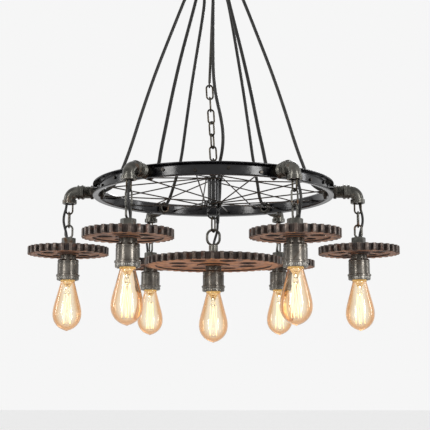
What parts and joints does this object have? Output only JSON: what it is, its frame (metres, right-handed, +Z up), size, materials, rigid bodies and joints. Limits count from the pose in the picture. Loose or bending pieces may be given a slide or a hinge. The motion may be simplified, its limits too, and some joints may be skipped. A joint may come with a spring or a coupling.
{
  "type": "gear chandelier",
  "caption": "Pendant light with a spoked wheel on a chain, pipe arms that carry toothed gears with filament bulbs, and a large gear with a bulb below the hub.",
  "frame": {"origin": "middle of the ceiling bracket, on the ceiling plane", "axes": "+Z up into the ceiling, -Y the side that the picture shows, +X to its right"},
  "size_m": [0.8116, 0.7264, 0.8755],
  "materials": {
    "canopy_black": "satin",
    "zinc_steel": "satin",
    "dark_steel": "satin",
    "antique_chain": "satin",
    "gloss_black": "gloss",
    "bronze_wire": "satin",
    "pipe_iron": "matte",
    "gear_iron": "matte",
    "holder_bronze": "satin",
    "bulb_glass": "gloss",
    "cord_black": "matte"
  },
  "bodies": {
    "ceiling_mount": {"ceiling_bracket": "zinc_steel", "ceiling_canopy": "canopy_black", "canopy_hook": "dark_steel", "cord_grips": "canopy_black"},
    "pendant": {"hanging_rod": "dark_steel", "suspension_chain": "antique_chain", "hub_axle": "gloss_black", "hub_shell": "gloss_black", "spokes": "bronze_wire", "spoke_nipples": "bronze_wire", "hub_bearings": "zinc_steel", "hub_nuts": "gloss_black", "wheel_rim": "gloss_black", "arm_nipples": "pipe_iron", "arm_nuts": "pipe_iron", "pipe_elbows": "pipe_iron", "hanger_pins": "dark_steel", "supply_cords": "cord_black"},
    "hanger_1": {"hanger_link_1": "antique_chain", "drop_cord_1": "cord_black"},
    "lamp_1": {"lamp_hanger_1": "antique_chain", "lamp_gear_1": "gear_iron", "lamp_holder_1": "holder_bronze"},
    "bulb_1": {"bulb_1": "bulb_glass"},
    "hanger_2": {"hanger_link_2": "antique_chain", "drop_cord_2": "cord_black"},
    "lamp_2": {"lamp_hanger_2": "antique_chain", "lamp_gear_2": "gear_iron", "lamp_holder_2": "holder_bronze"},
    "bulb_2": {"bulb_2": "bulb_glass"},
    "hanger_3": {"hanger_link_3": "antique_chain", "drop_cord_3": "cord_black"},
    "lamp_3": {"lamp_hanger_3": "antique_chain", "lamp_gear_3": "gear_iron", "lamp_holder_3": "holder_bronze"},
    "bulb_3": {"bulb_3": "bulb_glass"},
    "hanger_4": {"hanger_link_4": "antique_chain", "drop_cord_4": "cord_black"},
    "lamp_4": {"lamp_hanger_4": "antique_chain", "lamp_gear_4": "gear_iron", "lamp_holder_4": "holder_bronze"},
    "bulb_4": {"bulb_4": "bulb_glass"},
    "hanger_5": {"hanger_link_5": "antique_chain", "drop_cord_5": "cord_black"},
    "lamp_5": {"lamp_hanger_5": "antique_chain", "lamp_gear_5": "gear_iron", "lamp_holder_5": "holder_bronze"},
    "bulb_5": {"bulb_5": "bulb_glass"},
    "hanger_6": {"hanger_link_6": "antique_chain", "drop_cord_6": "cord_black"},
    "lamp_6": {"lamp_hanger_6": "antique_chain", "lamp_gear_6": "gear_iron", "lamp_holder_6": "holder_bronze"},
    "bulb_6": {"bulb_6": "bulb_glass"},
    "hanger_7": {"hanger_link_7": "antique_chain", "drop_cord_7": "cord_black"},
    "lamp_7": {"lamp_hanger_7": "antique_chain", "lamp_gear_7": "gear_iron", "lamp_holder_7": "holder_bronze"},
    "bulb_7": {"bulb_7": "bulb_glass"}
  },
  "joints": [
    {"name": "pendant_sway", "type": "hinge", "parent": "ceiling_mount", "child": "pendant", "pos_m": [0, 0, -0.057], "axis": [0, 1, 0], "range_deg": [-5, 5], "deforming": ["supply_cords"]},
    {"name": "hanger_swing_1", "type": "hinge", "parent": "pendant", "child": "hanger_1", "pos_m": [0.3178, 0, -0.5675], "axis": [0, 1, 0], "range_deg": [-12, 12]},
    {"name": "lamp_swing_1", "type": "hinge", "parent": "hanger_1", "child": "lamp_1", "pos_m": [0.3178, 0, -0.5937], "axis": [1, 0, 0], "range_deg": [-12, 12], "deforming": ["drop_cord_1"]},
    {"name": "bulb_turn_1", "type": "hinge", "parent": "lamp_1", "child": "bulb_1", "pos_m": [0.3178, 0, -0.74], "axis": [0, 0, 1], "range_deg": [0, 360]},
    {"name": "hanger_swing_2", "type": "hinge", "parent": "pendant", "child": "hanger_2", "pos_m": [0.1589, 0.27522, -0.5675], "axis": [-0.866, 0.5, 0], "range_deg": [-12, 12]},
    {"name": "lamp_swing_2", "type": "hinge", "parent": "hanger_2", "child": "lamp_2", "pos_m": [0.1589, 0.27522, -0.5937], "axis": [0.5, 0.866, 0], "range_deg": [-12, 12], "deforming": ["drop_cord_2"]},
    {"name": "bulb_turn_2", "type": "hinge", "parent": "lamp_2", "child": "bulb_2", "pos_m": [0.1589, 0.27522, -0.74], "axis": [0, 0, 1], "range_deg": [0, 360]},
    {"name": "hanger_swing_3", "type": "hinge", "parent": "pendant", "child": "hanger_3", "pos_m": [-0.1589, 0.27522, -0.5675], "axis": [-0.866, -0.5, 0], "range_deg": [-12, 12]},
    {"name": "lamp_swing_3", "type": "hinge", "parent": "hanger_3", "child": "lamp_3", "pos_m": [-0.1589, 0.27522, -0.5937], "axis": [-0.5, 0.866, 0], "range_deg": [-12, 12], "deforming": ["drop_cord_3"]},
    {"name": "bulb_turn_3", "type": "hinge", "parent": "lamp_3", "child": "bulb_3", "pos_m": [-0.1589, 0.27522, -0.74], "axis": [0, 0, 1], "range_deg": [0, 360]},
    {"name": "hanger_swing_4", "type": "hinge", "parent": "pendant", "child": "hanger_4", "pos_m": [-0.3178, 0, -0.5675], "axis": [0, -1, 0], "range_deg": [-12, 12]},
    {"name": "lamp_swing_4", "type": "hinge", "parent": "hanger_4", "child": "lamp_4", "pos_m": [-0.3178, 0, -0.5937], "axis": [-1, 0, 0], "range_deg": [-12, 12], "deforming": ["drop_cord_4"]},
    {"name": "bulb_turn_4", "type": "hinge", "parent": "lamp_4", "child": "bulb_4", "pos_m": [-0.3178, 0, -0.74], "axis": [0, 0, 1], "range_deg": [0, 360]},
    {"name": "hanger_swing_5", "type": "hinge", "parent": "pendant", "child": "hanger_5", "pos_m": [-0.1589, -0.27522, -0.5675], "axis": [0.866, -0.5, 0], "range_deg": [-12, 12]},
    {"name": "lamp_swing_5", "type": "hinge", "parent": "hanger_5", "child": "lamp_5", "pos_m": [-0.1589, -0.27522, -0.5937], "axis": [-0.5, -0.866, 0], "range_deg": [-12, 12], "deforming": ["drop_cord_5"]},
    {"name": "bulb_turn_5", "type": "hinge", "parent": "lamp_5", "child": "bulb_5", "pos_m": [-0.1589, -0.27522, -0.74], "axis": [0, 0, 1], "range_deg": [0, 360]},
    {"name": "hanger_swing_6", "type": "hinge", "parent": "pendant", "child": "hanger_6", "pos_m": [0.1589, -0.27522, -0.5675], "axis": [0.866, 0.5, 0], "range_deg": [-12, 12]},
    {"name": "lamp_swing_6", "type": "hinge", "parent": "hanger_6", "child": "lamp_6", "pos_m": [0.1589, -0.27522, -0.5937], "axis": [0.5, -0.866, 0], "range_deg": [-12, 12], "deforming": ["drop_cord_6"]},
    {"name": "bulb_turn_6", "type": "hinge", "parent": "lamp_6", "child": "bulb_6", "pos_m": [0.1589, -0.27522, -0.74], "axis": [0, 0, 1], "range_deg": [0, 360]},
    {"name": "hanger_swing_7", "type": "hinge", "parent": "pendant", "child": "hanger_7", "pos_m": [0, 0, -0.60435], "axis": [1, 0, 0], "range_deg": [-10, 10]},
    {"name": "lamp_swing_7", "type": "hinge", "parent": "hanger_7", "child": "lamp_7", "pos_m": [0, 0, -0.6338], "axis": [0.4695, 0.8829, 0], "range_deg": [-10, 10], "deforming": ["drop_cord_7"]},
    {"name": "bulb_turn_7", "type": "hinge", "parent": "lamp_7", "child": "bulb_7", "pos_m": [0, 0, -0.765], "axis": [0, 0, 1], "range_deg": [0, 360]}
  ]
}
